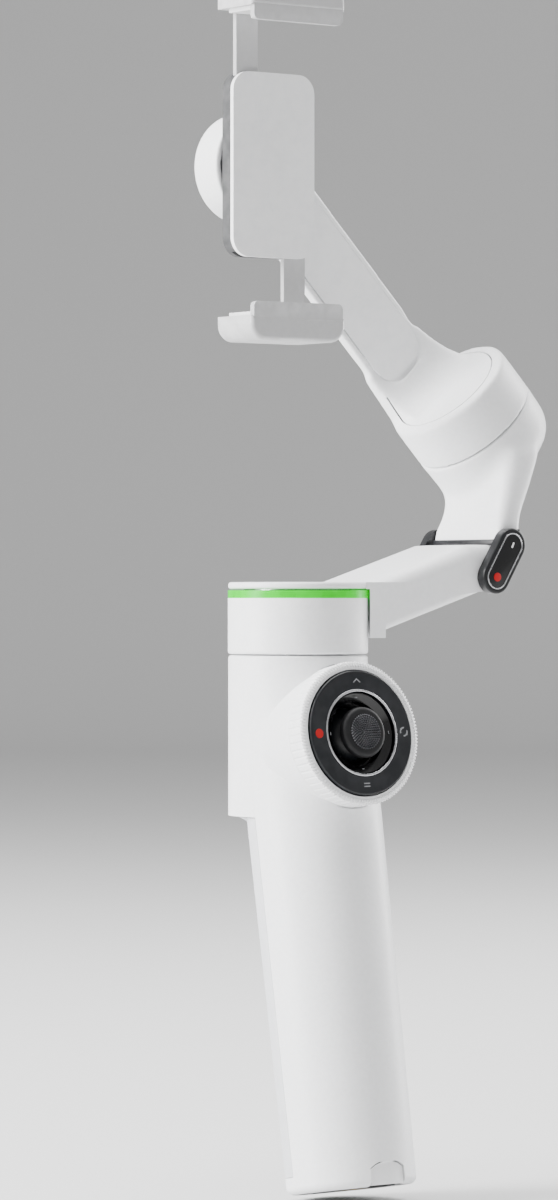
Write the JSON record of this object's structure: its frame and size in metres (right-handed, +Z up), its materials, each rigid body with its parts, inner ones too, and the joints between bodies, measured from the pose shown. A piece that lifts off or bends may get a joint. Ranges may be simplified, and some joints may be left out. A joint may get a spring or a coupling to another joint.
{
  "type": "gimbal stabilizer",
  "caption": "Folding handheld phone gimbal: powered pan, tilt and roll arms, jaw clamp, control dial with stick, telescopic rod and pull-out tripod foot.",
  "frame": {"origin": "mouth of the 1/4-inch tripod thread, at the centre of the handle's foot", "axes": "+Z up along the pan axis, -Y towards the user and the phone's screen, +X to the user's right"},
  "size_m": [0.1006, 0.0661, 0.3117],
  "materials": {
    "shell_white": "fine satin white moulding",
    "grip_grey": "soft light grey grip skin",
    "jaw_grey": "satin silver grey moulding",
    "pad_white": "soft pale pad",
    "control_black": "satin charcoal moulding",
    "gloss_black": "polished black",
    "stick_black": "textured black rubber",
    "light_green": "lit green light guide",
    "hinge_black": "satin black die casting",
    "steel": "turned steel",
    "alloy": "drawn light alloy tube",
    "brass": "turned brass",
    "copper_winding": "enamelled wound poles, as brass",
    "board_green": "circuit board",
    "cell_wrap": "shrink-wrapped cell",
    "inner_plastic": "dark glass-filled moulding",
    "magnet": "nickel-plated magnet"
  },
  "bodies": {
    "handle": {"handle_shell": "shell_white", "rear_grip_pad": "grip_grey", "rod_guide_tube": "inner_plastic", "battery_cell": "cell_wrap", "battery_sleeve": "inner_plastic", "foot_plug": "inner_plastic", "thread_insert": "brass", "main_circuit_board": "board_green", "usb_c_port": "steel", "control_base": "inner_plastic", "control_screws": "steel", "stick_dish": "gloss_black", "trigger_pin": "steel", "trigger_bracket": "inner_plastic"},
    "dial": {"dial_wheel": "shell_white"},
    "direction_button": {"button_disc": "control_black"},
    "yoke": {"stick_yoke": "inner_plastic"},
    "stick": {"stick_stem": "steel", "stick_cap": "stick_black"},
    "trigger_lever": {"trigger": "jaw_grey"},
    "power_key": {"power_button": "jaw_grey"},
    "tripod": {"tripod_carriage": "alloy", "tripod_leg_front": "shell_white", "tripod_leg_right": "inner_plastic", "tripod_leg_left": "inner_plastic", "leg_pins": "steel", "leg_feet": "stick_black"},
    "stage_1": {"rod_stage_1": "alloy"},
    "stage_2": {"rod_stage_2": "alloy"},
    "stage_3": {"rod_stage_3": "alloy"},
    "stage_4": {"rod_stage_4": "alloy"},
    "stage_5": {"rod_stage_5": "alloy"},
    "motor_base": {"rod_neck": "alloy", "pan_housing": "shell_white", "light_ring": "light_green", "pan_stator": "copper_winding", "pan_bearing": "steel"},
    "lower_arm": {"pan_rotor": "steel", "pan_cap": "shell_white", "pan_arm": "shell_white", "pan_arm_cover": "shell_white", "hinge_pin": "steel"},
    "folding_arm": {"upper_arm": "shell_white", "hinge_plate_front": "hinge_black", "hinge_plate_rear": "hinge_black", "tilt_stator": "copper_winding", "tilt_bearing": "steel"},
    "tilt_frame": {"tilt_arm": "shell_white", "tilt_arm_cover": "shell_white", "tilt_rotor": "steel", "roll_stator": "copper_winding"},
    "roll_plate": {"roll_rotor": "steel", "mount_magnets": "magnet"},
    "clamp": {"clamp_back": "inner_plastic", "clamp_cover": "shell_white"},
    "pinion": {"clamp_pinion": "inner_plastic"},
    "top_jaw": {"upper_jaw": "jaw_grey", "upper_jaw_pad": "pad_white"},
    "bottom_jaw": {"lower_jaw": "jaw_grey", "lower_jaw_pad": "pad_white"}
  },
  "joints": [
    {"name": "dial_turn", "type": "hinge", "parent": "handle", "child": "dial", "pos_m": [0, 0.01928, 0.11236], "axis": [0, -0.9856, 0.1691], "continuous": true},
    {"name": "direction_press", "type": "slide", "parent": "handle", "child": "direction_button", "axis": [0, 0.9856, -0.1691], "range_m": [0, 0.00035], "stiffness_N_per_m": 900},
    {"name": "stick_up_down", "type": "hinge", "parent": "handle", "child": "yoke", "pos_m": [0, 0.00509, 0.11479], "axis": [1, 0, 0], "range_deg": [-8, 8], "stiffness_Nm_per_rad": 0.02},
    {"name": "stick_left_right", "type": "hinge", "parent": "yoke", "child": "stick", "pos_m": [0, 0.00509, 0.11479], "axis": [0, 0.1691, 0.9856], "range_deg": [-8, 8], "stiffness_Nm_per_rad": 0.02},
    {"name": "trigger_pull", "type": "hinge", "parent": "handle", "child": "trigger_lever", "pos_m": [0, 0.0362, 0.1202], "axis": [-1, 0, 0], "range_deg": [0, 5], "stiffness_Nm_per_rad": 0.05},
    {"name": "power_press", "type": "slide", "parent": "handle", "child": "power_key", "axis": [-1, 0, 0], "range_m": [0, 0.0005], "stiffness_N_per_m": 700},
    {"name": "tripod_pull", "type": "slide", "parent": "handle", "child": "tripod", "axis": [0, -0.1691, -0.9856], "range_m": [0, 0.07]},
    {"name": "rod_extend_1", "type": "slide", "parent": "handle", "child": "stage_1", "axis": [0, 0, 1], "range_m": [0, 0.033]},
    {"name": "rod_extend_2", "type": "slide", "parent": "stage_1", "child": "stage_2", "axis": [0, 0, 1], "range_m": [0, 0.033]},
    {"name": "rod_extend_3", "type": "slide", "parent": "stage_2", "child": "stage_3", "axis": [0, 0, 1], "range_m": [0, 0.033]},
    {"name": "rod_extend_4", "type": "slide", "parent": "stage_3", "child": "stage_4", "axis": [0, 0, 1], "range_m": [0, 0.033]},
    {"name": "rod_extend_5", "type": "slide", "parent": "stage_4", "child": "stage_5", "axis": [0, 0, 1], "range_m": [0, 0.033]},
    {"name": "rod_extend_6", "type": "slide", "parent": "stage_5", "child": "motor_base", "axis": [0, 0, 1], "range_m": [0, 0.033]},
    {"name": "pan_turn", "type": "hinge", "parent": "motor_base", "child": "lower_arm", "pos_m": [0, 0.0233, 0.15], "axis": [0, 0, 1], "continuous": true},
    {"name": "arm_fold", "type": "hinge", "parent": "lower_arm", "child": "folding_arm", "pos_m": [0.0523, 0.0233, 0.156], "axis": [0, 1, 0], "range_deg": [0, 165]},
    {"name": "tilt_turn", "type": "hinge", "parent": "folding_arm", "child": "tilt_frame", "pos_m": [0.0623, 0.0293, 0.1969], "axis": [-0.6947, 0, 0.7193], "range_deg": [-110, 110]},
    {"name": "roll_turn", "type": "hinge", "parent": "tilt_frame", "child": "roll_plate", "pos_m": [0, 0.0433, 0.263], "axis": [0, -1, 0], "range_deg": [-120, 120]},
    {"name": "clamp_release", "type": "slide", "parent": "roll_plate", "child": "clamp", "axis": [0, -1, 0], "range_m": [0, 0.02]},
    {"name": "upper_jaw_slide", "type": "slide", "parent": "clamp", "child": "top_jaw", "axis": [0, 0, 1], "range_m": [-0.0068, 0.0032]},
    {"name": "lower_jaw_slide", "type": "slide", "parent": "clamp", "child": "bottom_jaw", "axis": [0, 0, -1], "range_m": [-0.0068, 0.0032]},
    {"name": "pinion_turn", "type": "hinge", "parent": "clamp", "child": "pinion", "pos_m": [0, 0.036, 0.263], "axis": [0, 1, 0], "range_deg": [-110, 55]}
  ],
  "couplings": [
    {"joint": "rod_extend_2", "follows": "rod_extend_1", "ratio": 1},
    {"joint": "rod_extend_3", "follows": "rod_extend_1", "ratio": 1},
    {"joint": "rod_extend_4", "follows": "rod_extend_1", "ratio": 1},
    {"joint": "rod_extend_5", "follows": "rod_extend_1", "ratio": 1},
    {"joint": "rod_extend_6", "follows": "rod_extend_1", "ratio": 1},
    {"joint": "lower_jaw_slide", "follows": "upper_jaw_slide", "ratio": 1},
    {"joint": "pinion_turn", "follows": "upper_jaw_slide", "rad_per_m": 277.78}
  ]
}
